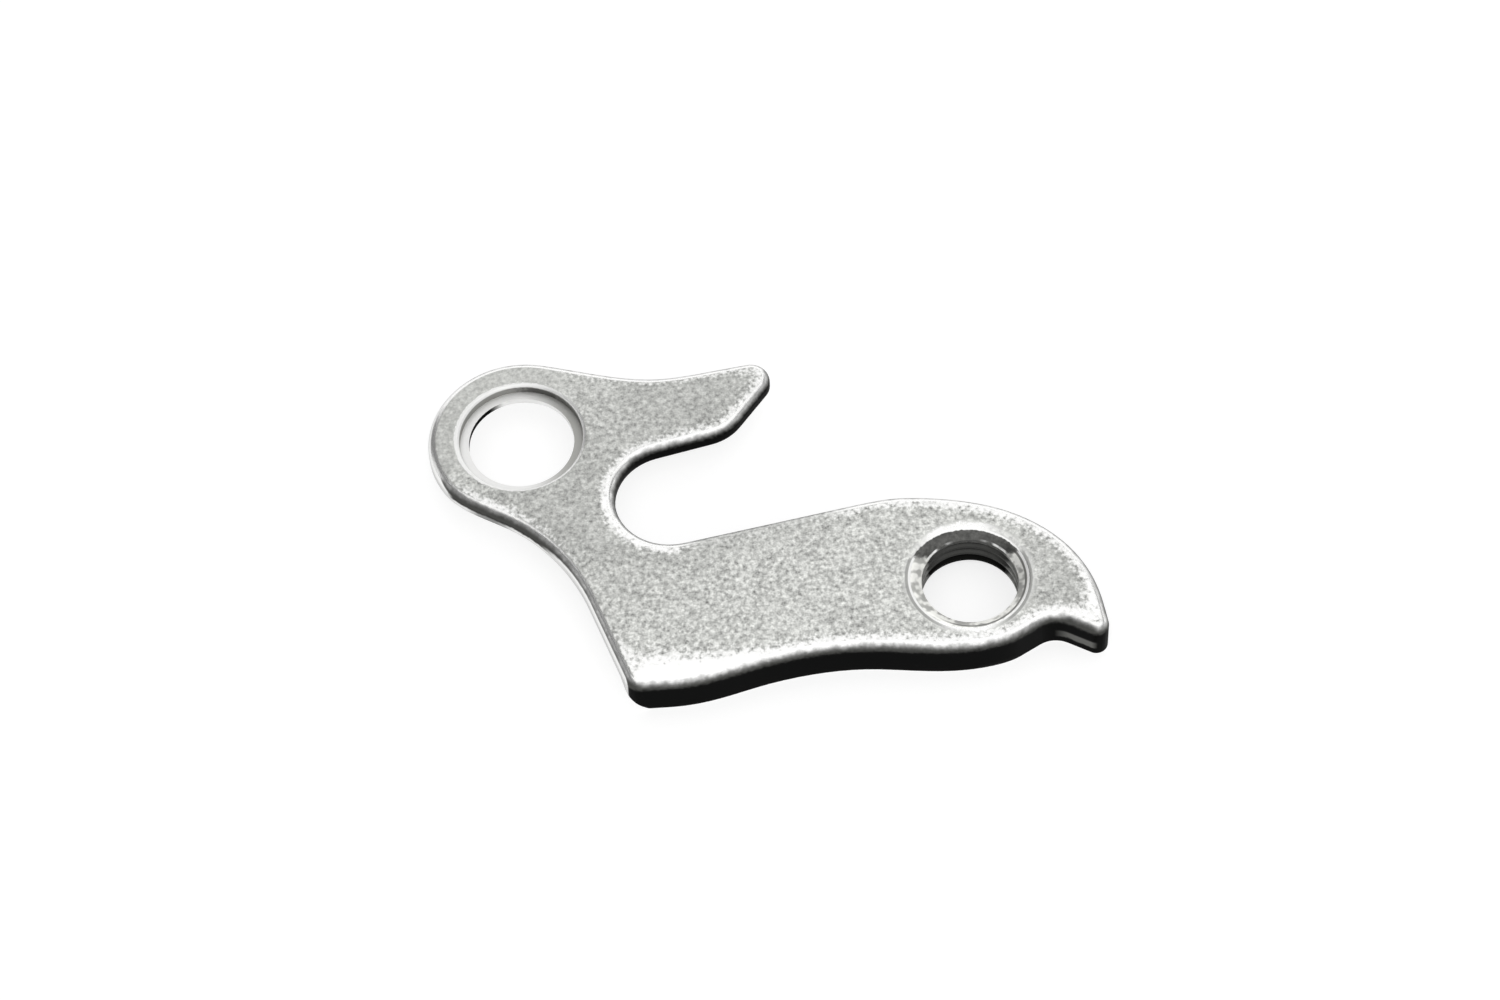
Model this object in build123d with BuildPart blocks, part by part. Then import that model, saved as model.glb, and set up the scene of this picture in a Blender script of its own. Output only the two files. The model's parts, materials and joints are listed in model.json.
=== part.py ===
from build123d import *
import os
from math import cos, radians, sin, tan

# Bicycle derailleur hanger: one metal plate with a bolt ring, an axle slot beside a short prong,
# and a thicker arm that carries the derailleur's thread and ends in a stop nose.
# Lengths are millimetres, angles degrees. The origin is where the thread's axis crosses the plane of
# the seat. X runs along the arm to the nose, Y across it to the prong, Z out of the outer face.

# Plate
seat_thickness = 2.1      # ring, neck and prong, which lie on the frame's dropout
arm_drop = 2.5            # how far the arm's underside lies below the seat
outer_round = 0.9         # rounding of the outer face's rim
under_round = 0.4         # rounding of the underside's rim
wall_share = 0.9          # largest part of the metal beside it that a rounding may take

# Frame bolt ring
bolt_from_axle_x = -13.9
bolt_from_axle_y = 7.43
ring_radius = 8.87
ring_start = 76.0         # where the ring leaves the top edge
ring_end = 213.0          # where the ring runs into the neck
bolt_bore = 10.0
recess_width = 0.85       # shallow ledge around the bore for the bolt's flange
recess_depth = 1.0
recess_round = 0.35
bolt_bevel = 0.5          # underside lead-in of the bolt bore

# Axle slot
axle_x = -27.2
axle_y = 11.42
slot_width = 10.6
slot_lower_angle = 10.6
slot_lower_run = 14.5
slot_upper_angle = 13.3
slot_upper_run = 7.2

# Prong
prong_end_angle = 52.4
prong_end_run = 10.7
prong_heel_radius = 4.9
prong_tip_radius = 1.85
prong_top_angle = 8.0
prong_top_run = 1.4       # straight stretch behind the rounded tip
dip_from_axle_x = -0.8    # lowest place of the top edge
dip_from_axle_y = 13.62

# Derailleur thread, M10 x 1, at its minor diameter
thread_bore = 9.0
mouth_width = 1.0         # conical mouth on the outer face
mouth_angle = 120.0
mouth_round = 2.0
thread_bevel = 0.4        # underside lead-in of the thread

# Arm
crest_x = -5.1            # highest place of the arm's back
crest_y = 9.69
back_x = 2.6              # middle of the arm's back
back_y = 8.2
shoulder_x = 10.0         # where the back turns down to the nose
shoulder_y = 2.5
front_x = -20.0           # middle of the front edge, between heel and waist
front_y = -7.8
waist_x = -10.0           # narrowest place of the arm's front edge
waist_y = -6.65
lug_x = -0.9              # lowest place of the front edge under the thread
lug_wall = 2.85           # metal between the thread's bore and that place
notch_x = 7.4             # corner of the notch before it is rounded
notch_y = -4.36
notch_rise_angle = 30.3
notch_rise_run = 3.7
notch_radius = 2.5

# Stop nose
nose_under_angle = -29.7
nose_under_run = 6.05
nose_back_angle = 98.0
nose_back_run = 4.1
nose_radius = 1.1

# Heel, where the neck's edge meets the arm's front edge
heel_x = -31.95
heel_y = -9.4
heel_radius = 1.6
heel_run = 3.6
neck_edge_angle = 109.5
neck_edge_run = 9.8
neck_from_bolt_x = -1.6   # where the neck's edge turns from bulging to hollow
neck_from_bolt_y = -9.2

# Sloping step between the arm and the thinner seat, on the underside
step_from_heel = 2.05
step_angle = 62.0
step_slope = 40.0

os.makedirs("parts", exist_ok=True)


def heading(angle):
    return Vector(cos(radians(angle)), sin(radians(angle)))


axle = Vector(axle_x, axle_y)
bolt = axle + Vector(bolt_from_axle_x, bolt_from_axle_y)
heel = Vector(heel_x, heel_y)
notch = Vector(notch_x, notch_y)
arm_thickness = seat_thickness + arm_drop

# Corners of the outline, each tied to the feature that it belongs to
slot_lower = axle + heading(slot_lower_angle - 90) * (slot_width / 2)
slot_upper = axle + heading(slot_upper_angle + 90) * (slot_width / 2)
slot_mouth = slot_lower + heading(slot_lower_angle) * slot_lower_run
prong_heel = slot_upper + heading(slot_upper_angle) * slot_upper_run
prong_tip = prong_heel + heading(prong_end_angle) * prong_end_run
tip_setback = prong_tip_radius / tan(radians(prong_end_angle - prong_top_angle) / 2)
prong_top = prong_tip - heading(prong_top_angle) * (tip_setback + prong_top_run)
dip = axle + Vector(dip_from_axle_x, dip_from_axle_y)
ring_top = bolt + heading(ring_start) * ring_radius
ring_low = bolt + heading(ring_end) * ring_radius
neck = bolt + Vector(neck_from_bolt_x, neck_from_bolt_y)
neck_edge = heel + heading(neck_edge_angle) * neck_edge_run
heel_front = heel + Vector(heel_run, 0)
notch_rise = notch - heading(notch_rise_angle) * notch_rise_run
nose = notch + heading(nose_under_angle) * nose_under_run
nose_back = nose + heading(nose_back_angle) * nose_back_run

with BuildSketch() as outline:
    with BuildLine():
        # Slot: two straight edges that open slightly, joined by a round end
        Line(slot_mouth, slot_lower)
        CenterArc(axle, slot_width / 2, slot_upper_angle + 90, 180 + slot_lower_angle - slot_upper_angle)
        Line(slot_upper, prong_heel)
        # Prong and top edge, down to the ring
        Line(prong_heel, prong_tip)
        Line(prong_tip, prong_top)
        Spline(prong_top, dip, ring_top, tangents=(-heading(prong_top_angle), heading(ring_start + 90)))
        # Ring and neck
        CenterArc(bolt, ring_radius, ring_start, ring_end - ring_start)
        Spline(ring_low, neck, neck_edge, tangents=(heading(ring_end + 90), -heading(neck_edge_angle)))
        Line(neck_edge, heel)
        # Front edge of the arm, notch and nose
        Line(heel, heel_front)
        Spline(
            heel_front,
            Vector(front_x, front_y),
            Vector(waist_x, waist_y),
            Vector(lug_x, -thread_bore / 2 - lug_wall),
            notch_rise,
            tangents=(Vector(1, 0), heading(notch_rise_angle)),
        )
        Line(notch_rise, notch)
        Line(notch, nose)
        Line(nose, nose_back)
        # Back of the arm, up to the slot
        Spline(
            nose_back,
            Vector(shoulder_x, shoulder_y),
            Vector(back_x, back_y),
            Vector(crest_x, crest_y),
            slot_mouth,
            tangents=(heading(nose_back_angle), -heading(slot_lower_angle)),
        )
    make_face()
    corner_radii = (
        (prong_heel, prong_heel_radius),
        (prong_tip, prong_tip_radius),
        (heel, heel_radius),
        (notch, notch_radius),
        (nose, nose_radius),
    )
    for corner, radius in corner_radii:
        fillet(outline.vertices().sort_by_distance(corner)[0], radius)

# Arm: the outline at its full thickness, ending in the slope of the step
step = heel + Vector(step_from_heel, 0, -arm_drop)
step_plane = Plane(origin=step, x_dir=heading(step_angle - 90), z_dir=heading(step_angle + 180))
slope_run = arm_thickness / tan(radians(step_slope))
cut_size = 4 * (bolt.length + ring_radius)
with BuildPart() as arm:
    with BuildSketch(Plane.XY.offset(-arm_drop)):
        add(outline.sketch)
    extrude(amount=arm_thickness)
    fillet(arm.faces().sort_by(Axis.Z)[0].edges(), under_round)
    with BuildSketch(step_plane):
        with BuildLine():
            Polyline(
                (0, 0),
                (-slope_run, arm_thickness),
                (-cut_size, arm_thickness),
                (-cut_size, 0),
                close=True,
            )
        make_face()
    extrude(amount=cut_size, both=True, mode=Mode.SUBTRACT)

with BuildPart() as hanger:
    # Seat: the whole outline, with the arm joined to it
    with BuildSketch():
        add(outline.sketch)
    extrude(amount=seat_thickness)
    fillet(hanger.faces().sort_by(Axis.Z)[0].edges(), under_round)
    add(arm.part)

    # Rim of the outer face, rounded as far as the sharpest outer corner allows
    sharpest = min(nose_radius, prong_tip_radius, heel_radius)
    outer_face = hanger.faces().sort_by(Axis.Z)[-1]
    fillet(outer_face.edges(), min(outer_round, wall_share * sharpest))

    # Bolt bore with the ledge for the bolt's flange
    with Locations((bolt.X, bolt.Y, seat_thickness)):
        CounterBoreHole(bolt_bore / 2, bolt_bore / 2 + recess_width, recess_depth)
    bolt_edges = hanger.edges(Select.LAST).filter_by(GeomType.CIRCLE).sort_by(Axis.Z)
    fillet(bolt_edges[-1], recess_round)
    chamfer(bolt_edges[0], min(bolt_bevel, (seat_thickness - recess_depth) / 2))

    # Thread's bore with its conical mouth, whose edge is rounded as far as the walls beside it allow
    mouth_radius = thread_bore / 2 + mouth_width
    rim = hanger.faces().sort_by(Axis.Z)[-1].outer_wire()
    mouth_wall = rim.distance_to((0, 0, seat_thickness)) - mouth_radius
    mouth_slant = mouth_width / sin(radians(mouth_angle / 2))
    spread = tan(radians(90 - mouth_angle / 2) / 2)
    with Locations((0, 0, seat_thickness)):
        CounterSinkHole(thread_bore / 2, mouth_radius, counter_sink_angle=mouth_angle)
    thread_edges = hanger.edges(Select.LAST).filter_by(GeomType.CIRCLE).sort_by(Axis.Z)
    fillet(thread_edges[-1], min(mouth_round, wall_share * min(mouth_wall, mouth_slant) / spread))
    chamfer(thread_edges[0], thread_bevel)

hanger.part.label = "derailleur_hanger"
export_step(hanger.part, "parts/derailleur_hanger.step")
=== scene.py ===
import json
from math import cos, pi, radians, sin, tan

import bmesh
import bpy
import numpy as np
from bpy.props import FloatProperty, FloatVectorProperty, PointerProperty
from mathutils import Matrix, Vector


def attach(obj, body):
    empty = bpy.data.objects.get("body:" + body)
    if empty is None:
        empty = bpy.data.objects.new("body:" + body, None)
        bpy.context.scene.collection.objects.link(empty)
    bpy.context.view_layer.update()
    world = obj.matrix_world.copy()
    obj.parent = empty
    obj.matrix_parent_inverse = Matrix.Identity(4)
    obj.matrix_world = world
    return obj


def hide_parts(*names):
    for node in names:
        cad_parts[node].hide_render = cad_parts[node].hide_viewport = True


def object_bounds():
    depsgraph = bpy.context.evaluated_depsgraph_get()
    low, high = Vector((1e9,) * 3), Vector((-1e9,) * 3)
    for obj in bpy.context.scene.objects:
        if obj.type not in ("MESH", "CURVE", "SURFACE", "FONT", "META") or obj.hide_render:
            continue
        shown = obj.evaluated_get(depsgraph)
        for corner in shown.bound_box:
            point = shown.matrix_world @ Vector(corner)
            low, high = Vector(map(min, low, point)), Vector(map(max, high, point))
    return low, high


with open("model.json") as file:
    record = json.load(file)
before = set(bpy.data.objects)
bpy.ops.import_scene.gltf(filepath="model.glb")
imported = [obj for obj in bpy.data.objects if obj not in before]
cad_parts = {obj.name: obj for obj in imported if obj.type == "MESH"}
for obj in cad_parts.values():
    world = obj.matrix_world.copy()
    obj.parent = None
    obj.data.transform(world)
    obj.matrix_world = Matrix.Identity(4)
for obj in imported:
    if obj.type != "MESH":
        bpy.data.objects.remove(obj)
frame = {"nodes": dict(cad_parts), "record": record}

bl_info = {
    "name": "Derailleur hanger",
    "version": (1, 0, 0),
    "blender": (4, 5, 0),
    "location": "View3D > Sidebar > Hanger",
    "description": "Dresses a bicycle derailleur hanger: cut thread, tumbled finish and a plain studio",
    "category": "Add Mesh",
}

NODE = "derailleur_hanger"
CAD_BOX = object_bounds()
OUTER_FACE = CAD_BOX[1].z
FLOOR_LEVEL = CAD_BOX[0].z
FRONT = CAD_BOX[0].y


def mount(name):
    """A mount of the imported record, by name."""
    return next(m for m in frame["record"]["mounts"] if m["name"] == name)


def mount_place(name):
    return Vector(mount(name)["pos_m"])


def mount_radius(name):
    return mount(name)["dims"]["r_mm"] / 1000


def from_face(*depths):
    """Levels at the given depths below the outer face."""
    return tuple(OUTER_FACE - depth for depth in depths)


def from_bore(*gaps):
    """Distances from the thread's axis, given from its bore outwards."""
    return tuple(BORE_RADIUS + gap for gap in gaps)


def from_ledge(*gaps):
    """Distances from the bolt's axis, given from its ledge's edge outwards."""
    return tuple(LEDGE_RADIUS + gap for gap in gaps)


# Places and radii on the plate, in metres
THREAD_AXIS = mount_place("derailleur_thread")
BORE_RADIUS = mount_radius("derailleur_thread")
BOLT_AXIS = mount_place("bolt_flange_ledge")
LEDGE_RADIUS = mount_radius("bolt_flange_ledge")
SLOT_END = mount_place("axle_slot") + Vector((-0.006, 0, 0))
HEEL = Vector((-0.0282, FRONT, OUTER_FACE))
HEEL_CORNER = Vector((-0.0318, FRONT, OUTER_FACE))

# Mesh: the gaps that count as none, and how upright a face of the outer side is
MERGE_GAP = 1e-7
LEVEL_GAP = 1e-6
FLAT_FACING = 0.9999
SINK = "sink"

# Noises of the finish: widths in grains, and how much finer detail they carry
SCUFF_WIDTH = 2
BLOTCH_WIDTH = 2.2
PATCH_WIDTH = 10
CLOUD_WIDTH = 40
FINE = 2.0
SOFT = 1.0
NOISE_ROUGHNESS = 0.6
BLOTCH_SPREAD = (0.36, 0.60)

# A pair below says where a mask starts and where it is whole: a place along X, across in Y or at a level
# in Z, a distance, or a part of the surface's normal. A shake is how far noise moves that to and fro.
PRONG_ALONG = (-0.040, -0.030)
PRONG_ACROSS = (0.008, 0.018)
NOSE_ALONG = (0.002, 0.010)
RING_ALONG = (-0.034, -0.040)
RING_ACROSS = (0.0140, 0.0165)
SLOT_RISE = 0.187
SLOT_EDGE_NEAR = (0.0070, 0.0105)
SLOT_EDGE_FAR = (0.0135, 0.0120)
SLOT_EDGE_MOUTH = (-0.010, -0.014)
SLOT_EDGE_BACK = (-0.027, -0.024)

# Flats: tones are shares of the face's colour; the darker tones are painted shade around the slot's end, on
# the prong, beside the nose, along the slot's edge and on the ring
SPECK_SPREAD = (0.2, 0.8)
SPECK_TONES = (0.30, 1.70)
PATCH_SHAKE = 0.06
SLOT_END_REACH = (0.016, 0.004)
SLOT_END_SHAKE = 0.006
# Painted shade: how dark the shaded flats are, and how much of it each zone takes
PAINTED_SHADE_TONE = 0.45
PAINTED_SHADE_SHARE = 0.31
SLOT_EDGE_SHADE_SHARE = 0.2
RING_SHADE_TONE = 0.93
RING_SHADE_SHARE = 0.5

# Rims: what each place adds to the wear that tumbling leaves, with a painted highlight on the heel and
# painted shade on the prong, nose, ring, top edge, heel corner, neck, the thread mouth's sides and the slot's
# edge
SINK_SHAKE = 0.45
HEEL_REACH = (0.011, 0.001)
HEEL_SHAKE = 0.002
HEEL_HIGHLIGHT = 0.60
PRONG_AND_NOSE_SHADE = -0.08
RING_RIM_SHADE = -0.35
TOP_EDGE_ALONG = (-0.0165, -0.020)
TOP_EDGE_ACROSS = (0.020, 0.024)
TOP_EDGE_SHADE = -0.18
HEEL_CORNER_REACH = (0.0035, 0.0015)
HEEL_CORNER_SHADE = -0.25
NECK_FRONT_SHARE = -0.6
NECK_SHADE = -7.0
# How much wear or turning away gives the polished colour, which is painted near-white as a highlight
POLISHED = (0.66, 1.10)
TURNED_AWAY = (0.99, 0.96)
TURNED_SHAKE = 0.01
MOUTH_RIM_AXIS = THREAD_AXIS + Vector((-0.0001, 0.00015, 0))
MOUTH_RIM = (0.0062, 0.0058)
MOUTH_RIM_SHAKE = 0.0007
MOUTH_RIGHT = (0.001, 0.0035)
MOUTH_LEFT = (-0.003, -0.005)
MOUTH_SIDE_SHADE = -0.7
SLOT_EDGE_RIM_SHADE = -0.8

# Walls: tones are shares of the burnish; the walls' dark tones are painted shade, with a painted highlight on
# the lower rim and a painted reflection beside the nose
SHEAR_LEVEL = from_face(0.0008, 0.0014)
SHEAR_SHAKE = 0.0003
PRONG_SHEAR = -0.0004
LOWER_RIM_HIGHLIGHT = (-0.05, -0.30)
NOSE_REFLECTION_TOP = (-0.0003, -0.0006)
NOSE_REFLECTION_FOOT = (-0.0015, -0.0012)
NOSE_REFLECTION_SHAKE = 0.0003
NOSE_REFLECTION_TONE = 4.0
# Painted shade on what faces front left and on the prong's front, and painted light on walls that face left
FRONT_LEFT_SHADE = -0.8
PRONG_WALL_SHADE = -0.10
SLOPE = (0.0, 0.86)
SLOPE_SHAKE = 0.22
FALL_POWER = 3.3
LEFT_WALL_LIGHT = (0.70, 0.80)
RING_LEFT_SHARE = 0.4
SEAT_ACROSS = (0.0, 0.004)
SEAT_WALL_LEVEL = from_face(0.0011, 0.0014)
SEAT_WALL_SHAKE = 0.0002
SEAT_WALL_LIGHT = (0.45, 0.60)
UNDERSIDE = (-0.60, -0.75)

# Bolt hole, painted with light and shade: tones are shares of the bore's colour
LEDGE_AXIS = BOLT_AXIS + Vector((-0.00015, 0.00005, 0))
LEDGE_EDGE = from_ledge(0.00042, 0.00032)
LEDGE_SHAKE = 0.0002
LEDGE_WALL = from_ledge(-0.0005, -0.0003)
LEDGE_LEVEL = from_face(0.0008, 0.0009)
LEDGE_RIGHT = (BOLT_AXIS.x, BOLT_AXIS.x + 0.005)
LEDGE_SHADE_TONE = 1.8
UPRIGHT = (0.55, 0.25)
TURNED_WALL_SIDE = 0.35
TURNED_WALL_SHADE = (0.60, 0.10)
TURNED_WALL_SHAKE = 0.3
TURNED_WALL_TONES = (1.5, 0.55)
BOLT_WALL_SHADE = (0.3, 0.6)

# Thread and its mouth, painted with light and shade: tones are shares of the bore's colour, and of the face's
# for the line
THREAD_EDGE_AXIS = THREAD_AXIS + Vector((-0.0002, 0, 0))
THREAD_EDGE_SQUEEZE = 0.95
THREAD_EDGE = from_bore(0.00090, 0.00082)
THREAD_EDGE_SHAKE = 0.0001
NEAR_SIDE = (0.0029, 0.0023)
NEAR_SIDE_SHAKE = 0.0004
# Painted shade on the mouth's far side, darker with depth
FAR_MOUTH_SHADE_TONES = (0.1, 0.7)
DEEP_LEVEL = (0.0009, 0.0007)
DEEP_SHAKE = 0.0001
DEEP_SHADE_TONE = 0.2
DEEPEST_LEVEL = (-0.0012, -0.0014)
DEEPEST_SHADE_TONE = 0.02
# Painted glints on the first turn
FIRST_TURN = from_bore(0.00016, 0.00010)
FIRST_TURN_LEVEL = (0.00136, 0.00142)
FIRST_TURN_SIDES = (0.0010, 0.0030)
# Painted light in blotches, painted shade in a ring within the mouth, a painted highlight at its edge and a
# line of painted shade around it
LIT_BLOTCH_TONES = (2.0, 4.0)
GROOVE_INNER = from_bore(0.00050, 0.00058)
GROOVE_OUTER = from_bore(0.00078, 0.00070)
GROOVE_ALONG = (-0.004, -0.001)
LIP_AXIS = THREAD_AXIS + Vector((-0.00015, 0, 0))
LIP_SIDES = (0.001, 0.004)
LIP = from_bore(0.00085, 0.00093)
LINE_INNER = from_bore(0.00107, 0.00115)
LINE_OUTER = from_bore(0.00145, 0.00135)
LINE_SHARE = 0.8
SHADE_LINE_TONE = 0.5
BORE_LEVEL = (0.0014, 0.0011)
BORE_SHAKE = 0.0002
BORE_TONES = (0.5, 1.6)

# Gloss and relief
FLAT_ROUGHNESS = 0.36
POLISH_ROUGHNESS = -0.10
CUT_ROUGHNESS = 0.2
PIT_STRENGTH = 0.5
PIT_DEPTH = 0.00004

# Studio: each lamp's name, place, direction, width and height, and brightness
PANELS = (
    ("overhead", (0.08, -0.285, 0.45), (0, 0, -1), (0.74, 0.93), 0.94),
    ("front", (0.1, -0.85, 0.30), (0, 1, 0), (1.4, 0.55), 1.0),
    ("high_back", (0.11, 0.46, 0.55), (0, -0.64, -0.77), (0.80, 0.45), 0.95),
    ("low_back", (0.1, 0.95, 0.30), (0, -1, 0), (1.6, 0.56), 1.0),
    ("right", (0.85, 0.15, 0.27), (-1, 0, 0), (1.2, 0.50), 0.9),
    ("left", (-0.85, -0.1, 0.27), (1, 0, 0), (1.0, 0.50), 0.6),
)
SKY_STRENGTH = 0.22
FLOOR_HALF = 1.5
SENSOR_WIDTH = 36
CLIP_START = 0.01
WHITE = (1, 1, 1, 1)


def length_property(name, description, default):
    return FloatProperty(name=name, description=description, default=default, unit="LENGTH", precision=5)


def angle_property(name, description, default):
    return FloatProperty(name=name, description=description, default=default, subtype="ANGLE")


def colour_property(name, description, default):
    return FloatVectorProperty(
        name=name, description=description, default=default, subtype="COLOR", min=0, max=1
    )


class HangerSizes(bpy.types.PropertyGroup):
    """Sizes of the cut thread and of the face's sunken rim"""

    thread_diameter: length_property("Thread diameter", "Outer diameter of the derailleur's thread", 0.010)
    thread_pitch: length_property("Thread pitch", "Distance from one turn of the thread to the next", 0.001)
    rim_round: length_property("Rim rounding", "Radius of the outer face's rounded rim", 0.0009)
    roll_depth: length_property(
        "Roll depth", "How far stamping has sunk the outer face at a straight edge", 0.00016
    )
    roll_reach: length_property("Roll reach", "Distance from the edge within which the sinking fades", 0.0016)
    face_grid: length_property("Face grid", "Spacing of the cuts that let the outer face bend", 0.0008)
    crease: angle_property("Crease", "Edges that turn by more than this are shaded sharp", radians(28))


class HangerFinish(bpy.types.PropertyGroup):
    """Colours and grain of the metal, and the colours of its painted light and shade"""

    face_colour: colour_property("Face", "Blasted metal of the flat faces", (0.545, 0.55, 0.53))
    # Polished rims, painted near-white as the highlight that they catch; the holes' painted highlights and
    # glints use it too
    polish_and_highlight_colour: colour_property(
        "Rim", "Metal that tumbling has polished on the rounded rims", (0.90, 0.90, 0.89)
    )
    # Painted shade: the burnish above the shear line and the wall below it are dark because they stand for
    # the shade that the walls mirror
    burnish_shade_colour: colour_property("Burnish", "Upper part of the sheared walls", (0.075, 0.075, 0.071))
    wall_shade_colour: colour_property("Wall", "Sheared side walls", (0.003, 0.003, 0.0029))
    bore_colour: colour_property("Bore", "Drilled mouth and thread", (0.25, 0.25, 0.24))
    glance_colour: colour_property("Glance", "Tint of what the metal mirrors at a low angle", (0.6, 0.6, 0.6))
    grain_size: length_property("Grain", "Width of the pits that blasting leaves", 0.00037)


class HangerStage(bpy.types.PropertyGroup):
    """Camera and floor"""

    elevation: angle_property("Elevation", "How far above the floor the camera looks from", radians(56.2))
    roll: angle_property("Roll", "Clockwise turn of the camera about its line of sight", radians(3.5))
    distance: length_property("Distance", "From the camera to the point that it looks at", 0.4206)
    lens: FloatProperty(
        name="Lens",
        description="Focal length on a sensor 36 mm wide",
        default=108.0,
        unit="CAMERA",
    )
    aim: FloatVectorProperty(
        name="Aim",
        description="Point of the outer face that the camera looks at, from the thread's axis",
        default=(-0.01984, 0.01004),
        size=2,
        unit="LENGTH",
        precision=5,
    )
    floor_colour: colour_property("Floor", "Plain pale floor", (0.35, 0.35, 0.35))
    floor_white: FloatProperty(
        name="Floor white",
        description="What the camera and the metal see added to the floor's own light",
        default=0.75,
    )


def add_object(name, data):
    """Links a new object at the origin."""
    piece = bpy.data.objects.new(name, data)
    bpy.context.scene.collection.objects.link(piece)
    return piece


def finish_mesh(mesh, name):
    """Turns a bmesh into mesh data."""
    data = bpy.data.meshes.new(name)
    mesh.to_mesh(data)
    mesh.free()
    return data


def thread_cutter(sizes):
    """A helical ridge with the thread's section, from below the bore up to the thread's first turn."""
    turns = 4.5
    steps = 72
    flank = radians(30)
    overlap = 0.12
    pitch = sizes.thread_pitch
    crest = sizes.thread_diameter / 2
    root = BORE_RADIUS - overlap * pitch
    crest_half = pitch / 16
    root_half = crest_half + (crest - root) * tan(flank)
    start = FLOOR_LEVEL - pitch
    mesh = bmesh.new()
    section = [
        mesh.verts.new((root, 0, start - root_half)),
        mesh.verts.new((crest, 0, start - crest_half)),
        mesh.verts.new((crest, 0, start + crest_half)),
        mesh.verts.new((root, 0, start + root_half)),
    ]
    face = mesh.faces.new(section)
    bmesh.ops.spin(
        mesh,
        geom=[face, *face.edges, *face.verts],
        cent=(0, 0, 0),
        axis=(0, 0, 1),
        dvec=(0, 0, pitch / steps),
        angle=2 * pi * turns,
        steps=int(steps * turns),
    )
    bmesh.ops.recalc_face_normals(mesh, faces=mesh.faces)
    return add_object("thread_cutter", finish_mesh(mesh, "thread_cutter"))


def plate_mesh():
    """A merged copy of the CAD plate, without the normals that came with it."""
    mesh = bmesh.new()
    mesh.from_mesh(frame["nodes"][NODE].data)
    bmesh.ops.remove_doubles(mesh, verts=mesh.verts, dist=MERGE_GAP)
    data = finish_mesh(mesh, "hanger_plate")
    if data.has_custom_normals:
        data.attributes.remove(data.attributes["custom_normal"])
    return data


def apply_modifiers(piece):
    """Swaps the piece's mesh for the one that its modifiers give."""
    depsgraph = bpy.context.evaluated_depsgraph_get()
    data = bpy.data.meshes.new_from_object(piece.evaluated_get(depsgraph))
    piece.modifiers.clear()
    piece.data = data


def face_outline(faces):
    """Points around the outer face, in order, without those of its holes."""
    inside = set(faces)
    rim = {e: True for f in faces for e in f.edges if sum(g in inside for g in e.link_faces) == 1}
    loops = []
    while rim:
        edge = next(iter(rim))
        start, vert = edge.verts
        loop = [start]
        del rim[edge]
        while vert is not start:
            loop.append(vert)
            edge = next(e for e in vert.link_edges if e in rim)
            del rim[edge]
            vert = edge.other_vert(vert)
        loops.append(loop)
    longest = max(loops, key=lambda loop: max(v.co.x for v in loop) - min(v.co.x for v in loop))
    return [v.co.xy for v in longest]


def even_points(corners, spacing):
    """Points along a closed outline, no further apart than the spacing."""
    points = []
    for first, second in zip(corners, corners[1:] + corners[:1]):
        parts = int((second - first).length / spacing) + 1
        points += [first.lerp(second, k / parts) for k in range(parts)]
    return np.array(points)


def is_inside(points, outline):
    """Whether each point lies within the closed outline."""
    ahead = np.roll(outline, -1, axis=0)
    y = points[:, 1, None]
    spans = (outline[:, 1] > y) != (ahead[:, 1] > y)
    rise = np.where(ahead[:, 1] == outline[:, 1], 1, ahead[:, 1] - outline[:, 1])
    crossing = outline[:, 0] + (y - outline[:, 1]) / rise * (ahead[:, 0] - outline[:, 0])
    return (spans & (points[:, 0, None] < crossing)).sum(axis=1) % 2 == 1


def sink_shares(points, outline, reach):
    """How far the face sinks at each point: 1 at a straight edge, more in a corner, 0 far from edges."""
    softening = 0.15
    straight = 2.405  # pull of a long straight edge on a point of it
    batch = 500
    lengths = np.linalg.norm(np.roll(outline, -1, axis=0) - np.roll(outline, 1, axis=0), axis=1) / 2
    shares = np.empty(len(points))
    for start in range(0, len(points), batch):
        block = points[start:start + batch]
        gaps = np.linalg.norm(block[:, None] - outline, axis=2)
        nearest = outline[gaps.argmin(axis=1)]
        block = np.where(is_inside(block, outline)[:, None], block, nearest)
        gaps = np.linalg.norm(block[:, None] - outline, axis=2) / reach
        pull = np.exp(-gaps) / np.sqrt(gaps + softening) * lengths / reach
        shares[start:start + batch] = pull.sum(axis=1) / straight
    return shares


def cut_grid(mesh, faces, spacing):
    """Cuts faces along a square grid."""
    edges = dict.fromkeys(e for f in faces for e in f.edges)
    verts = dict.fromkeys(v for f in faces for v in f.verts)
    geometry = [*faces, *edges, *verts]
    low, high = CAD_BOX
    for axis, normal in ((0, (1, 0, 0)), (1, (0, 1, 0))):
        cuts = int((high[axis] - low[axis]) / spacing)
        for k in range(1, cuts):
            place = [0, 0, 0]
            place[axis] = low[axis] + k * spacing
            cut = bmesh.ops.bisect_plane(
                mesh, geom=geometry, dist=MERGE_GAP, plane_co=place, plane_no=normal
            )
            geometry = cut["geom"]


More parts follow.
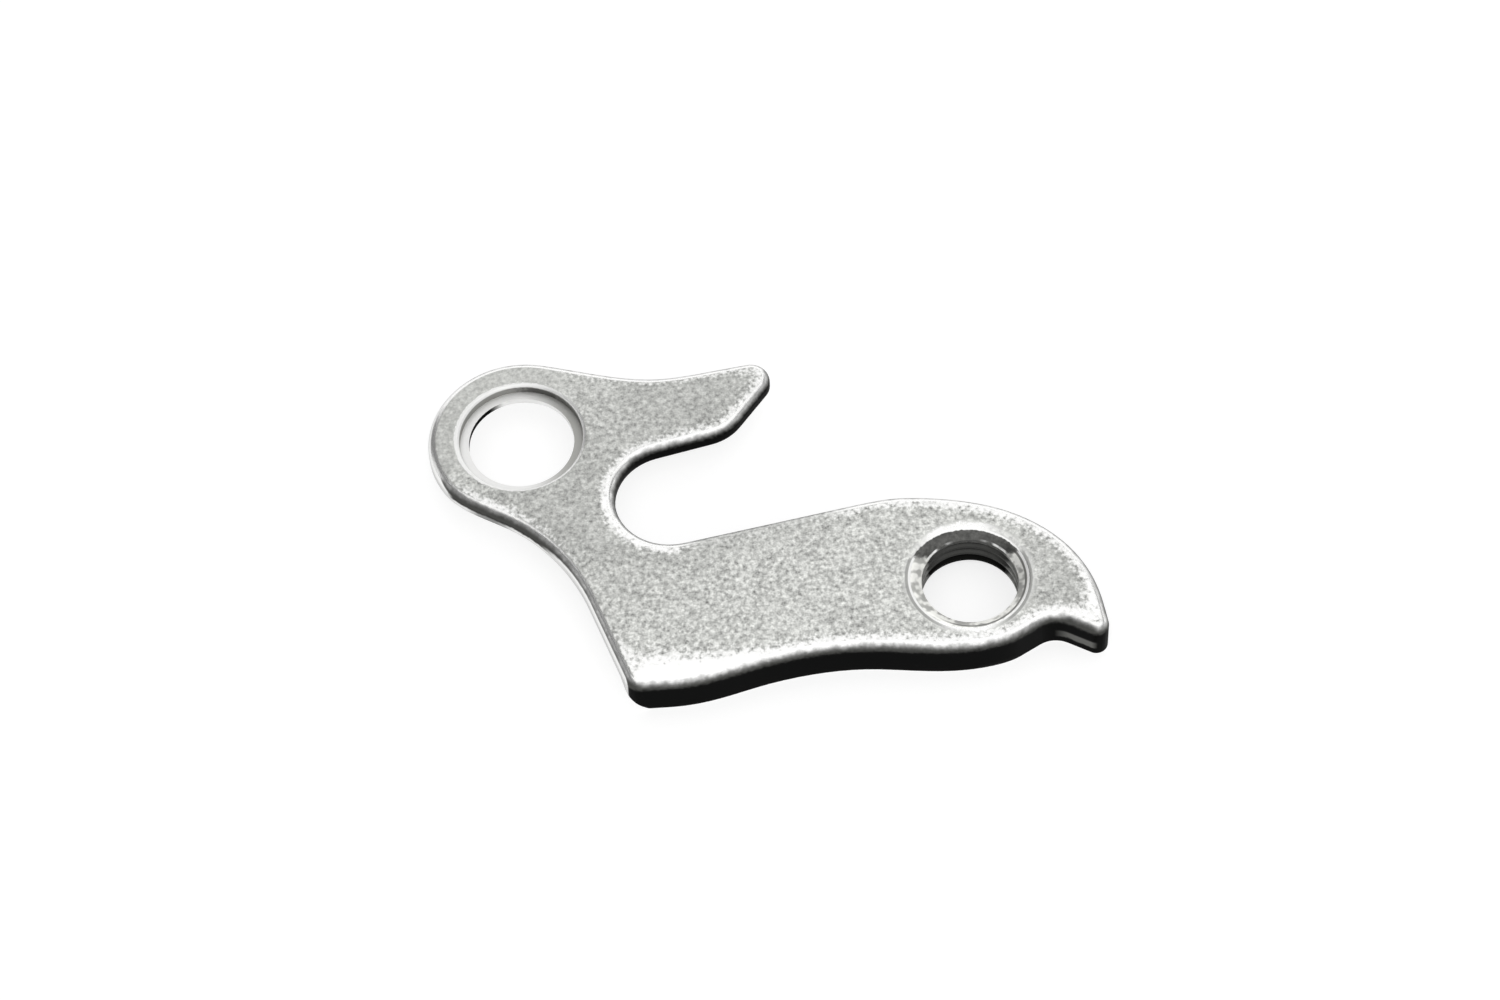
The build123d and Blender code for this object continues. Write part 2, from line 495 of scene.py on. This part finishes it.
def roll_rim(data, sizes):
    """Cuts the outer face into a grid and lets it sink towards its rim, as stamping leaves it."""
    mesh = bmesh.new()
    mesh.from_mesh(data)
    level = OUTER_FACE - LEVEL_GAP
    faces = [f for f in mesh.faces if f.normal.z > FLAT_FACING and f.calc_center_median().z > level]
    outline_spacing = sizes.face_grid / 4
    outline = even_points(face_outline(faces), outline_spacing)
    cut_grid(mesh, faces, sizes.face_grid)
    sink = mesh.verts.layers.float.new(SINK)
    upper = [v for v in mesh.verts if v.co.z > level - sizes.rim_round]
    shares = sink_shares(np.array([v.co.xy for v in upper]), outline, sizes.roll_reach)
    for vert, share in zip(upper, shares):
        vert[sink] = share
        vert.co.z -= sizes.roll_depth * share
    mesh.to_mesh(data)
    mesh.free()


def shade_edges(data, crease):
    """Smooth faces without slivers, with a sharp edge wherever two of them meet at more than the crease."""
    mesh = bmesh.new()
    mesh.from_mesh(data)
    bmesh.ops.dissolve_degenerate(mesh, dist=LEVEL_GAP, edges=mesh.edges)
    for face in mesh.faces:
        face.smooth = True
    for edge in mesh.edges:
        edge.smooth = edge.calc_face_angle(0) < crease
    mesh.to_mesh(data)
    mesh.free()


class Nodes:
    """Short calls for building a material's node tree."""

    def __init__(self, material):
        material.use_nodes = True
        self.tree = material.node_tree
        self.tree.nodes.clear()

    def add(self, kind, inputs=None, **settings):
        node = self.tree.nodes.new(kind)
        for name, value in settings.items():
            setattr(node, name, value)
        for socket, value in (inputs or {}).items():
            self.feed(node.inputs[socket], value)
        return node

    def feed(self, socket, value):
        if isinstance(value, bpy.types.NodeSocket):
            self.tree.links.new(value, socket)
        else:
            socket.default_value = value

    def math(self, operation, *values):
        return self.add("ShaderNodeMath", dict(enumerate(values)), operation=operation).outputs[0]

    def product(self, first, *others):
        for value in others:
            first = self.math("MULTIPLY", first, value)
        return first

    def most(self, first, *others):
        """The largest of the values."""
        for value in others:
            first = self.math("MAXIMUM", first, value)
        return first

    def remainder(self, share):
        """What a share leaves of 1."""
        return self.math("SUBTRACT", 1.0, share)

    def raised(self, value, mask, amount):
        """A value with an amount added where the mask is whole."""
        return self.math("MULTIPLY_ADD", mask, amount, value)

    def ramp(self, value, low, high, easing="SMOOTHSTEP"):
        """0 at low, 1 at high, eased between."""
        settings = {"Value": value, "From Min": low, "From Max": high}
        return self.add("ShaderNodeMapRange", settings, interpolation_type=easing).outputs["Result"]

    def below_zero(self, value):
        """How far a value lies below zero."""
        return self.most(self.product(value, -1.0), 0.0)

    def distance(self, where, point):
        """From a place to a fixed point."""
        node = self.add("ShaderNodeVectorMath", {0: where, 1: point}, operation="DISTANCE")
        return node.outputs["Value"]

    def across(self, where, axis, squeeze=1.0):
        """Distance from an upright axis, given by a point on it. A squeeze below 1 counts X for less."""
        level = self.add("ShaderNodeVectorMath", {0: where, 1: (squeeze, 1, 0)}, operation="MULTIPLY")
        return self.distance(level.outputs["Vector"], (squeeze * axis.x, axis.y, 0))

    def noise(self, where, size, detail):
        settings = {"Vector": where, "Scale": 1 / size, "Detail": detail, "Roughness": NOISE_ROUGHNESS}
        return self.add("ShaderNodeTexNoise", settings).outputs["Fac"]

    def shaken(self, value, noise, reach):
        """A value moved up and down by a noise, so that its edge is ragged."""
        shift = self.math("MULTIPLY_ADD", noise, 2 * reach, -reach)
        return self.math("ADD", value, shift)

    def mix(self, share, first, second):
        """The first colour, or the second where the share is whole."""
        node = self.add("ShaderNodeMix", data_type="RGBA")
        # The node's colour sockets have the names of its other sockets, so they go by number
        self.feed(node.inputs["Factor"], share)
        self.feed(node.inputs[6], first)
        self.feed(node.inputs[7], second)
        return node.outputs[2]


def toned(colour, tone=1.0):
    """A colour made lighter or darker, for a colour socket."""
    return (*(min(1.0, tone * c) for c in colour), 1)


def toned_pair(colour, tones):
    return [toned(colour, tone) for tone in tones]


class PlateSurface:
    """What the finish reads at a place of the plate: where it lies and faces, its noises and its zones."""

    def __init__(self, nodes, grain_size):
        coordinates = nodes.add("ShaderNodeTexCoord").outputs
        where = coordinates["Object"]
        self.where = where
        self.x, self.y, self.z = nodes.add("ShaderNodeSeparateXYZ", {0: where}).outputs
        normal = nodes.add("ShaderNodeSeparateXYZ", {0: coordinates["Normal"]})
        self.facing_x, self.facing_y, self.facing_z = normal.outputs
        self.leftward = nodes.below_zero(self.facing_x)
        self.frontward = nodes.below_zero(self.facing_y)
        self.sink = nodes.add("ShaderNodeAttribute", attribute_name=SINK).outputs["Fac"]

        self.grain = nodes.noise(where, grain_size, FINE)
        self.scuff = nodes.noise(where, SCUFF_WIDTH * grain_size, FINE)
        self.patch = nodes.noise(where, PATCH_WIDTH * grain_size, FINE)
        self.cloud = nodes.noise(where, CLOUD_WIDTH * grain_size, SOFT)
        self.blotch = nodes.ramp(nodes.noise(where, BLOTCH_WIDTH * grain_size, SOFT), *BLOTCH_SPREAD)

        self.prong = nodes.product(nodes.ramp(self.y, *PRONG_ACROSS), nodes.ramp(self.x, *PRONG_ALONG))
        self.nose = nodes.ramp(self.x, *NOSE_ALONG)
        self.ring_side = nodes.ramp(self.y, *RING_ACROSS)
        self.ring = nodes.product(self.ring_side, nodes.ramp(self.x, *RING_ALONG))
        beside_slot = nodes.raised(self.y, self.x, -SLOT_RISE)
        self.slot_edge = nodes.product(
            nodes.ramp(beside_slot, *SLOT_EDGE_NEAR),
            nodes.ramp(beside_slot, *SLOT_EDGE_FAR),
            nodes.ramp(self.x, *SLOT_EDGE_MOUTH),
            nodes.ramp(self.x, *SLOT_EDGE_BACK),
        )


def flat_grain_and_shade(nodes, at, face):
    """Light and dark specks, with painted shade around the slot's end, on the prong, beside the nose, along
    the slot's edge and on the ring.
    """
    speck = nodes.ramp(nodes.shaken(at.grain, at.patch, PATCH_SHAKE), *SPECK_SPREAD, "LINEAR")
    colour = nodes.mix(speck, *toned_pair(face, SPECK_TONES))
    # Painted shade around the slot's end, on the prong and beside the nose
    slot_end = nodes.shaken(nodes.distance(at.where, SLOT_END), at.cloud, SLOT_END_SHAKE)
    shaded_zones = nodes.most(nodes.ramp(slot_end, *SLOT_END_REACH), at.prong, at.nose)
    colour = nodes.mix(nodes.product(shaded_zones, PAINTED_SHADE_SHARE), colour, toned(face, PAINTED_SHADE_TONE))
    # Painted shade along the slot's edge
    colour = nodes.mix(nodes.product(at.slot_edge, SLOT_EDGE_SHADE_SHARE), colour, toned(face, PAINTED_SHADE_TONE))
    # Painted shade on the ring
    return nodes.mix(nodes.product(at.ring, RING_SHADE_SHARE), colour, toned(face, RING_SHADE_TONE))


def polish_and_painted_light_share(nodes, at):
    """How far tumbling has polished a place: rims, where the face sinks or turns away, with a painted
    highlight on the heel and painted shade at the prong, nose, ring, top edge, heel corner, neck, mouth's
    sides and slot's edge.
    """
    heel = nodes.ramp(nodes.shaken(nodes.distance(at.where, HEEL), at.cloud, HEEL_SHAKE), *HEEL_REACH)
    top_edge = nodes.product(nodes.ramp(at.y, *TOP_EDGE_ACROSS), nodes.ramp(at.x, *TOP_EDGE_ALONG))
    heel_corner = nodes.ramp(nodes.distance(at.where, HEEL_CORNER), *HEEL_CORNER_REACH)
    neck = nodes.most(nodes.raised(at.leftward, at.frontward, NECK_FRONT_SHARE), 0.0)
    neck = nodes.product(neck, nodes.remainder(at.ring_side))
    # Painted highlight on the heel; painted shade on the prong, the nose, the ring, the top edge, the heel's
    # corner and the neck's front-left rim
    wear_and_painted_light_zones = (
        (heel, HEEL_HIGHLIGHT),
        (nodes.most(at.prong, at.nose), PRONG_AND_NOSE_SHADE),
        (at.ring, RING_RIM_SHADE),
        (top_edge, TOP_EDGE_SHADE),
        (heel_corner, HEEL_CORNER_SHADE),
        (neck, NECK_SHADE),
    )
    wear_and_painted_light = nodes.shaken(at.sink, at.grain, SINK_SHAKE)
    for zone, amount in wear_and_painted_light_zones:
        wear_and_painted_light = nodes.raised(wear_and_painted_light, zone, amount)
    # Rims that turn away from up take the polished colour, painted near-white as their highlight
    flatness = nodes.math("ABSOLUTE", at.facing_z)
    turned = nodes.ramp(nodes.shaken(flatness, at.grain, TURNED_SHAKE), *TURNED_AWAY)
    # Polished ring around the thread's mouth, with painted shade on its sides
    mouth_rim = nodes.shaken(nodes.across(at.where, MOUTH_RIM_AXIS), at.grain, MOUTH_RIM_SHAKE)
    mouth_sides = nodes.most(nodes.ramp(at.x, *MOUTH_RIGHT), nodes.ramp(at.x, *MOUTH_LEFT))
    mouth_side_shade = nodes.raised(1.0, mouth_sides, MOUTH_SIDE_SHADE)
    mouth = nodes.product(nodes.ramp(mouth_rim, *MOUTH_RIM), mouth_side_shade)
    polish_and_painted_light = nodes.most(nodes.ramp(wear_and_painted_light, *POLISHED), turned, mouth)
    # Painted shade along the slot's edge
    return nodes.product(polish_and_painted_light, nodes.raised(1.0, at.slot_edge, SLOT_EDGE_RIM_SHADE))


def wall_shade_and_highlights(nodes, at, finish):
    """Walls that are burnished below the rim and dark under that, both painted dark as shade, with a painted
    highlight on the lower rim and a painted reflection as a paler stripe beside the nose.
    """
    # Painted shade: the burnish and the wall stand for the shade that the walls mirror
    burnish = toned(finish.burnish_shade_colour)
    shear = nodes.raised(nodes.shaken(at.z, at.grain, SHEAR_SHAKE), at.prong, PRONG_SHEAR)
    colour = nodes.mix(nodes.ramp(shear, *SHEAR_LEVEL), burnish, toned(finish.wall_shade_colour))
    # Painted highlight along the lower rim
    colour = nodes.mix(nodes.ramp(at.facing_z, *LOWER_RIM_HIGHLIGHT), colour, burnish)
    # Painted reflection: a paler stripe on the nose's left-facing wall
    reflection_top = nodes.ramp(at.z, *NOSE_REFLECTION_TOP)
    reflection_foot = nodes.ramp(nodes.shaken(at.z, at.scuff, NOSE_REFLECTION_SHAKE), *NOSE_REFLECTION_FOOT)
    nose_reflection = nodes.product(reflection_top, at.nose, reflection_foot, at.leftward)
    return nodes.mix(nose_reflection, colour, toned(finish.burnish_shade_colour, NOSE_REFLECTION_TONE))


def lit_share(nodes, at):
    """Where the metal keeps its colour instead of the walls' painted shade: over the rim, less to the front
    left and on the prong's front, with painted light on left walls, and below.
    """
    # Painted shade on what faces front left, and on the prong's front
    slope = nodes.raised(at.facing_z, nodes.product(at.leftward, at.frontward), FRONT_LEFT_SHADE)
    slope = nodes.raised(slope, nodes.product(at.prong, at.frontward), PRONG_WALL_SHADE)
    slope = nodes.ramp(nodes.shaken(slope, at.scuff, SLOPE_SHAKE), *SLOPE, "LINEAR")
    rim = nodes.math("POWER", slope, FALL_POWER)
    # Painted light on walls that face left, and on the seat's left walls below the rim
    left = nodes.ramp(nodes.raised(at.leftward, at.ring_side, RING_LEFT_SHARE), *LEFT_WALL_LIGHT)
    seat_wall_light = nodes.product(
        nodes.ramp(nodes.shaken(at.z, at.grain, SEAT_WALL_SHAKE), *SEAT_WALL_LEVEL),
        nodes.ramp(at.y, *SEAT_ACROSS),
        nodes.ramp(at.leftward, *SEAT_WALL_LIGHT),
    )
    under = nodes.ramp(at.facing_z, *UNDERSIDE)
    return nodes.most(rim, left, seat_wall_light, under)


def bolt_hole_light_and_shade(nodes, at, finish):
    """The bolt's pale ledge with a painted highlight, greyer to its right; its turned wall above with painted
    shade; and the bore's own wall below, painted dark where it faces right and light elsewhere.
    """
    rim = toned(finish.polish_and_highlight_colour)
    # Painted highlight on the ledge, with painted shade towards its right
    ledge_right_shade = nodes.product(nodes.ramp(at.x, *LEDGE_RIGHT), nodes.ramp(at.z, *LEDGE_LEVEL))
    ledge = nodes.mix(ledge_right_shade, rim, toned(finish.bore_colour, LEDGE_SHADE_TONE))
    # Painted shade on the turned wall, darkest where it faces a little to the left
    side = nodes.math("ADD", nodes.shaken(at.facing_x, at.grain, TURNED_WALL_SHAKE), TURNED_WALL_SIDE)
    shade = nodes.ramp(nodes.math("ABSOLUTE", side), *TURNED_WALL_SHADE)
    turned_wall = nodes.mix(shade, *toned_pair(finish.bore_colour, TURNED_WALL_TONES))
    # Painted shade on the bore's wall where it faces right, painted light elsewhere
    bolt_wall = nodes.mix(nodes.ramp(at.facing_x, *BOLT_WALL_SHADE), rim, toned(finish.wall_shade_colour))
    above = nodes.ramp(nodes.across(at.where, BOLT_AXIS), *LEDGE_WALL)
    walls = nodes.mix(above, bolt_wall, turned_wall)
    return nodes.mix(nodes.ramp(at.facing_z, *UPRIGHT), ledge, walls)


def far_mouth_shade_and_glints(nodes, at, finish, from_axis):
    """Far side of the thread's mouth: painted shade, darker with depth, with painted glints on the first
    turn.
    """
    bore = finish.bore_colour
    # Painted shade, darker with depth
    colour = nodes.mix(at.grain, *toned_pair(bore, FAR_MOUTH_SHADE_TONES))
    deep = nodes.ramp(nodes.shaken(at.z, at.grain, DEEP_SHAKE), *DEEP_LEVEL)
    colour = nodes.mix(deep, colour, toned(bore, DEEP_SHADE_TONE))
    colour = nodes.mix(nodes.ramp(at.z, *DEEPEST_LEVEL), colour, toned(bore, DEEPEST_SHADE_TONE))
    # Painted glints on the first turn
    glints = nodes.product(
        nodes.ramp(from_axis, *FIRST_TURN),
        nodes.ramp(at.z, *FIRST_TURN_LEVEL),
        nodes.ramp(nodes.math("ABSOLUTE", at.x), *FIRST_TURN_SIDES),
        at.blotch,
    )
    return nodes.mix(glints, colour, toned(finish.polish_and_highlight_colour))


def near_mouth_light_and_shade(nodes, at, finish, from_axis, lip_highlight):
    """Near side of the thread's mouth: blotches of painted light, a ring of painted shade and a painted
    highlight at the edge, and grey turns below.
    """
    bore = finish.bore_colour
    # Painted light in blotches
    colour = nodes.mix(at.blotch, *toned_pair(bore, LIT_BLOTCH_TONES))
    # Painted shade in a narrow ring within the mouth, except to its left
    groove_shade = nodes.product(
        nodes.ramp(from_axis, *GROOVE_INNER),
        nodes.ramp(from_axis, *GROOVE_OUTER),
        nodes.ramp(at.x, *GROOVE_ALONG),
    )
    colour = nodes.mix(groove_shade, colour, toned(bore))
    # Painted highlight at the mouth's edge
    colour = nodes.mix(lip_highlight, colour, toned(finish.polish_and_highlight_colour))
    turns = nodes.ramp(nodes.shaken(at.z, at.grain, BORE_SHAKE), *BORE_LEVEL)
    return nodes.mix(turns, colour, nodes.mix(at.grain, *toned_pair(bore, BORE_TONES)))


def metal_finish(finish):
    """Bare metal: blasted flats, rims polished by tumbling and painted near-white as highlight, sheared walls
    painted dark as shade, and drilled holes painted with light and shade.
    """
    material = bpy.data.materials.new("tumbled_aluminium")
    nodes = Nodes(material)
    at = PlateSurface(nodes, finish.grain_size)

    # Outside of the plate: blasted flats with painted shade, polished rims with painted highlight, and walls
    # with painted shade and light
    polish_and_painted_light = polish_and_painted_light_share(nodes, at)
    lit = lit_share(nodes, at)
    colour = nodes.mix(polish_and_painted_light, flat_grain_and_shade(nodes, at, finish.face_colour), toned(finish.polish_and_highlight_colour))
    # Walls take their painted shade wherever the metal doesn't keep its own colour
    colour = nodes.mix(lit, wall_shade_and_highlights(nodes, at, finish), colour)

    # Bolt hole, with its painted light and shade
    bolt_hole = nodes.shaken(nodes.across(at.where, LEDGE_AXIS), at.grain, LEDGE_SHAKE)
    bolt_hole = nodes.ramp(bolt_hole, *LEDGE_EDGE)
    colour = nodes.mix(bolt_hole, colour, bolt_hole_light_and_shade(nodes, at, finish))

    # Thread and its mouth, with painted light and shade, and a fine line of painted shade around that
    from_axis = nodes.across(at.where, THREAD_AXIS)
    from_lip = nodes.across(at.where, LIP_AXIS)
    # Painted highlight at the mouth's edge, on its sides
    lip_sides = nodes.ramp(nodes.math("ABSOLUTE", at.x), *LIP_SIDES)
    lip_highlight = nodes.product(nodes.ramp(from_lip, *LIP), lip_sides)
    near_side = nodes.ramp(nodes.shaken(at.y, at.grain, NEAR_SIDE_SHAKE), *NEAR_SIDE)
    mouth = nodes.mix(
        near_side,
        far_mouth_shade_and_glints(nodes, at, finish, from_axis),
        near_mouth_light_and_shade(nodes, at, finish, from_axis, lip_highlight),
    )
    thread = nodes.across(at.where, THREAD_EDGE_AXIS, squeeze=THREAD_EDGE_SQUEEZE)
    thread = nodes.ramp(nodes.shaken(thread, at.grain, THREAD_EDGE_SHAKE), *THREAD_EDGE)
    colour = nodes.mix(thread, colour, mouth)
    # A fine line of painted shade around the mouth's near side
    line = nodes.product(nodes.ramp(from_lip, *LINE_INNER), nodes.ramp(from_lip, *LINE_OUTER), lip_sides)
    line = nodes.product(line, near_side, LINE_SHARE)
    colour = nodes.mix(line, colour, toned(finish.face_colour, SHADE_LINE_TONE))

    # Gloss and relief
    rough = nodes.raised(FLAT_ROUGHNESS, polish_and_painted_light, POLISH_ROUGHNESS)
    for cut in (nodes.remainder(lit), nodes.product(thread, near_side), bolt_hole):
        rough = nodes.raised(rough, cut, CUT_ROUGHNESS)
    pits = nodes.product(at.grain, nodes.remainder(polish_and_painted_light))
    bump = nodes.add("ShaderNodeBump", {"Height": pits, "Strength": PIT_STRENGTH, "Distance": PIT_DEPTH})
    shader = nodes.add(
        "ShaderNodeBsdfPrincipled",
        {
            "Base Color": colour,
            "Metallic": 1.0,
            "Roughness": rough,
            "Normal": bump.outputs["Normal"],
            "Specular Tint": toned(finish.glance_colour),
        },
    )
    nodes.add("ShaderNodeOutputMaterial", {"Surface": shader.outputs[0]})
    return material


class HANGER_OT_plate(bpy.types.Operator):
    """Cuts the thread into a copy of the plate, rolls its rim and gives it its finish"""

    bl_idname = "hanger.plate"
    bl_label = "Hanger plate"

    def execute(self, context):
        sizes = context.scene.hanger_sizes
        plate = add_object("hanger_plate", plate_mesh())
        cutter = thread_cutter(sizes)
        cut = plate.modifiers.new("Thread", "BOOLEAN")
        cut.operation = "DIFFERENCE"
        cut.solver = "EXACT"
        cut.object = cutter
        apply_modifiers(plate)
        bpy.data.objects.remove(cutter)
        roll_rim(plate.data, sizes)
        shade_edges(plate.data, sizes.crease)
        weigh = plate.modifiers.new("Weighted normals", "WEIGHTED_NORMAL")
        weigh.keep_sharp = True
        plate.data.materials.clear()
        plate.data.materials.append(metal_finish(context.scene.hanger_finish))
        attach(plate, "root")
        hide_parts(NODE)
        return {"FINISHED"}


def floor_material(stage):
    """Matt floor that the camera and the metal see as white, with the object's shadow."""
    material = bpy.data.materials.new("pale_floor")
    nodes = Nodes(material)
    matt = nodes.add("ShaderNodeBsdfDiffuse", {"Color": toned(stage.floor_colour)})
    ray = nodes.add("ShaderNodeLightPath").outputs
    seen = nodes.most(ray["Is Camera Ray"], ray["Is Glossy Ray"], ray["Is Transmission Ray"])
    strength = nodes.product(seen, stage.floor_white)
    glow = nodes.add("ShaderNodeEmission", {"Color": WHITE, "Strength": strength})
    both = nodes.add("ShaderNodeAddShader", {0: matt.outputs[0], 1: glow.outputs[0]})
    nodes.add("ShaderNodeOutputMaterial", {"Surface": both.outputs[0]})
    return material


def add_floor(stage):
    mesh = bmesh.new()
    bmesh.ops.create_grid(mesh, x_segments=1, y_segments=1, size=FLOOR_HALF)
    bmesh.ops.translate(mesh, vec=(0, 0, FLOOR_LEVEL), verts=mesh.verts)
    floor = add_object("floor", finish_mesh(mesh, "floor"))
    floor.data.materials.append(floor_material(stage))


def add_panel(name, place, facing, size, brightness):
    """A soft rectangular lamp. A brightness of 1 mirrors as white."""
    lamp = bpy.data.lights.new(name, "AREA")
    lamp.shape = "RECTANGLE"
    lamp.size, lamp.size_y = size
    lamp.energy = pi * size[0] * size[1] * brightness
    panel = add_object(name, lamp)
    panel.location = place
    panel.rotation_euler = Vector(facing).to_track_quat("-Z", "Y").to_euler()


def add_sky(scene):
    """An even white light from all sides."""
    world = bpy.data.worlds.new("studio")
    world.use_nodes = True
    sky = world.node_tree.nodes["Background"]
    sky.inputs["Color"].default_value = WHITE
    sky.inputs["Strength"].default_value = SKY_STRENGTH
    scene.world = world


def add_camera(stage):
    """The camera of the photograph: no shift, no depth of field."""
    data = bpy.data.cameras.new("camera")
    data.lens = stage.lens
    data.sensor_width = SENSOR_WIDTH
    data.clip_start = CLIP_START
    camera = add_object("camera", data)
    aim = Vector((*stage.aim, OUTER_FACE))
    back = Vector((0, -cos(stage.elevation), sin(stage.elevation)))
    tilt = Matrix.Rotation(pi / 2 - stage.elevation, 4, "X")
    roll = Matrix.Rotation(-stage.roll, 4, "Z")
    camera.matrix_world = Matrix.Translation(aim + stage.distance * back) @ tilt @ roll
    bpy.context.scene.camera = camera


class HANGER_OT_stage(bpy.types.Operator):
    """Adds the floor, the soft lamps and the camera"""

    bl_idname = "hanger.stage"
    bl_label = "Stage"

    def execute(self, context):
        stage = context.scene.hanger_stage
        add_floor(stage)
        for panel in PANELS:
            add_panel(*panel)
        add_sky(context.scene)
        add_camera(stage)
        context.scene.view_settings.view_transform = "Standard"
        return {"FINISHED"}


class HANGER_PT_sidebar(bpy.types.Panel):
    """Lists the pieces and their sizes"""

    bl_idname = "HANGER_PT_sidebar"
    bl_label = "Derailleur hanger"
    bl_space_type = "VIEW_3D"
    bl_region_type = "UI"
    bl_category = "Hanger"

    def draw(self, context):
        column = self.layout.column()
        for group in (context.scene.hanger_sizes, context.scene.hanger_finish, context.scene.hanger_stage):
            for name in group.bl_rna.properties.keys():
                if name not in {"rna_type", "name"}:
                    column.prop(group, name)
        column.operator(HANGER_OT_plate.bl_idname)
        column.operator(HANGER_OT_stage.bl_idname)


CLASSES = (HangerSizes, HangerFinish, HangerStage, HANGER_OT_plate, HANGER_OT_stage, HANGER_PT_sidebar)


def register():
    for cls in CLASSES:
        bpy.utils.register_class(cls)
    bpy.types.Scene.hanger_sizes = PointerProperty(type=HangerSizes)
    bpy.types.Scene.hanger_finish = PointerProperty(type=HangerFinish)
    bpy.types.Scene.hanger_stage = PointerProperty(type=HangerStage)


def unregister():
    del bpy.types.Scene.hanger_stage
    del bpy.types.Scene.hanger_finish
    del bpy.types.Scene.hanger_sizes
    for cls in reversed(CLASSES):
        bpy.utils.unregister_class(cls)


def main():
    register()
    bpy.ops.hanger.plate()
    bpy.ops.hanger.stage()


if __name__ == "__main__":
    main()
